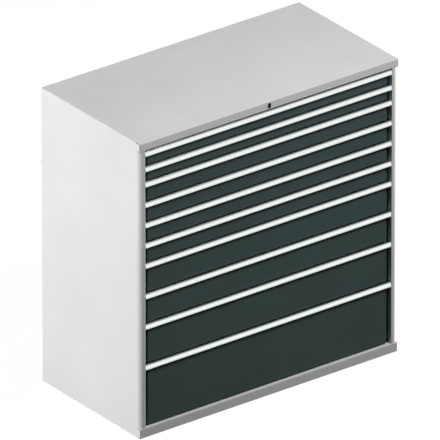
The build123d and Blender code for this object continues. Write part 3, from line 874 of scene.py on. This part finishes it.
def backdropSeen(tree):
    # 1 for camera rays and for reflections seen by the camera, so that bright metal doesn't throw
    # the white backdrop as light on what is beside it
    path = addNode(tree, "ShaderNodeLightPath", {}, {})
    direct = addNode(tree, "ShaderNodeMath", {"operation": "LESS_THAN"}, {})
    tree.links.new(path.outputs["Diffuse Depth"], direct.inputs[0])
    mirrorRay = addNode(tree, "ShaderNodeMath", {"operation": "MULTIPLY"}, {})
    tree.links.new(path.outputs["Is Glossy Ray"], mirrorRay.inputs[0])
    tree.links.new(direct.outputs[0], mirrorRay.inputs[1])
    seen = addNode(tree, "ShaderNodeMath", {"operation": "MAXIMUM"}, {})
    tree.links.new(path.outputs["Is Camera Ray"], seen.inputs[0])
    tree.links.new(mirrorRay.outputs[0], seen.inputs[1])
    return seen.outputs[0]


def addFloor(look):
    # a plain pale plane under the cabinet that keeps its shadow
    half, level = look["halfSize"], cadLow.z - look["drop"]
    corners = [(-half, -half, level), (half, -half, level), (half, half, level), (-half, half, level)]
    mesh = bpy.data.meshes.new("floor")
    mesh.from_pydata(corners, [], [(0, 1, 2, 3)])
    floor = bpy.data.objects.new("floor", mesh)
    scene.collection.objects.link(floor)
    material, tree, output = newMaterial("paleFloor")[:3]
    glow = addNode(tree, "ShaderNodeMapRange", {"To Max": look["glow"]}, {"Value": backdropSeen(tree)})
    shine = addNode(tree, "ShaderNodeEmission", {"Color": white}, {"Strength": glow.outputs["Result"]})
    matt = addNode(tree, "ShaderNodeBsdfDiffuse", {"Color": hexColour(look["colour"])}, {})
    both = addNode(tree, "ShaderNodeAddShader", {}, {})
    tree.links.new(shine.outputs[0], both.inputs[0])
    tree.links.new(matt.outputs[0], both.inputs[1])
    # clear when seen from below, so that the floor doesn't hide the cabinet there
    side = addNode(tree, "ShaderNodeNewGeometry", {}, {})
    clear = addNode(tree, "ShaderNodeBsdfTransparent", {}, {})
    oneSided = addNode(tree, "ShaderNodeMixShader", {}, {})
    tree.links.new(side.outputs["Backfacing"], oneSided.inputs[0])
    tree.links.new(both.outputs[0], oneSided.inputs[1])
    tree.links.new(clear.outputs[0], oneSided.inputs[2])
    tree.links.new(oneSided.outputs[0], output.inputs["Surface"])
    mesh.materials.append(material)


worldLook = {"horizon": 1.0, "ceiling": 0.06, "ceilingFrom": 0.30, "ambient": 0.02}


def addWorld(look):
    # white where the camera sees it, in reflections white at the horizon and darker towards the
    # ceiling, and a faint even grey where it lights the cabinet
    world = bpy.data.worlds.new("studio")
    scene.world = world
    world.use_nodes = True
    tree = world.node_tree
    tree.nodes.clear()
    direction = addNode(tree, "ShaderNodeTexCoord", {}, {}).outputs["Generated"]
    height = addNode(tree, "ShaderNodeSeparateXYZ", {}, {"Vector": direction}).outputs["Z"]
    path = addNode(tree, "ShaderNodeLightPath", {}, {})
    ceiling = addNode(tree, "ShaderNodeMapRange", {"To Min": look["ceiling"], "To Max": look["horizon"]},
                      {"Value": path.outputs["Is Camera Ray"]})
    shown = addNode(tree, "ShaderNodeMapRange", {"From Max": look["ceilingFrom"],
                                                 "To Min": look["horizon"]},
                    {"Value": height, "To Max": ceiling.outputs["Result"]})
    strength = addNode(tree, "ShaderNodeMapRange", {"To Min": look["ambient"]},
                       {"Value": backdropSeen(tree), "To Max": shown.outputs["Result"]})
    sky = addNode(tree, "ShaderNodeBackground", {"Color": white},
                  {"Strength": strength.outputs["Result"]})
    addNode(tree, "ShaderNodeOutputWorld", {}, {"Surface": sky.outputs[0]})


lamps = {
    # where each soft square lamp shines from, its distance and size in metres, and its level,
    # which is what a white face turned to it would show
    "left": {"from": (-1.0, 0.16, 0.15), "distance": 7.0, "size": 1.6, "level": 0.95},
    "right": {"from": (1.0, 0.0, 0.15), "distance": 7.0, "size": 1.6, "level": 0.95},
    "top": {"from": (-0.6, 0.5, 1.0), "distance": 4.0, "size": 2.5, "level": 0.14},
    "front": {"from": (0.35, -1.0, 1.5), "distance": 6.5, "size": 1.7, "level": 0.79},
}


def addLamp(name, look):
    # energy that gives the look's level: the level times pi squared times the distance squared
    data = bpy.data.lights.new(name, "AREA")
    data.energy = look["level"] * math.pi ** 2 * look["distance"] ** 2
    data.size = look["size"]
    lamp = bpy.data.objects.new(name, data)
    scene.collection.objects.link(lamp)
    direction = Vector(look["from"]).normalized()
    lamp.location = cadMiddle + direction * look["distance"]
    lamp.rotation_euler = direction.to_track_quat("Z", "Y").to_euler()


addFloor(floorLook)
addWorld(worldLook)
for name, look in lamps.items():
    addLamp(name, look)
scene.view_settings.view_transform = "Standard"
print("floor, world and", len(lamps), "lamps")


# Camera, from the photograph's corners: nearly parallel, left of the front and above
cameraLook = {"azimuth": -37.16, "elevation": 26.42, "lens": 1700.0, "sensor": 36.0, "frameWidth": 1.9517,
              "clipDistances": 3}


def addCamera(look):
    data = bpy.data.cameras.new("camera")
    data.lens = look["lens"]
    data.sensor_width = look["sensor"]
    data.sensor_fit = "HORIZONTAL"
    distance = look["frameWidth"] * look["lens"] / look["sensor"]
    data.clip_end = look["clipDistances"] * distance
    camera = bpy.data.objects.new("camera", data)
    scene.collection.objects.link(camera)
    azimuth = math.radians(look["azimuth"])
    elevation = math.radians(look["elevation"])
    back = Vector((math.sin(azimuth) * math.cos(elevation), -math.cos(azimuth) * math.cos(elevation),
                   math.sin(elevation)))
    camera.location = cadMiddle + back * distance
    camera.rotation_euler = back.to_track_quat("Z", "Y").to_euler()
    scene.camera = camera


addCamera(cameraLook)
print("camera placed")
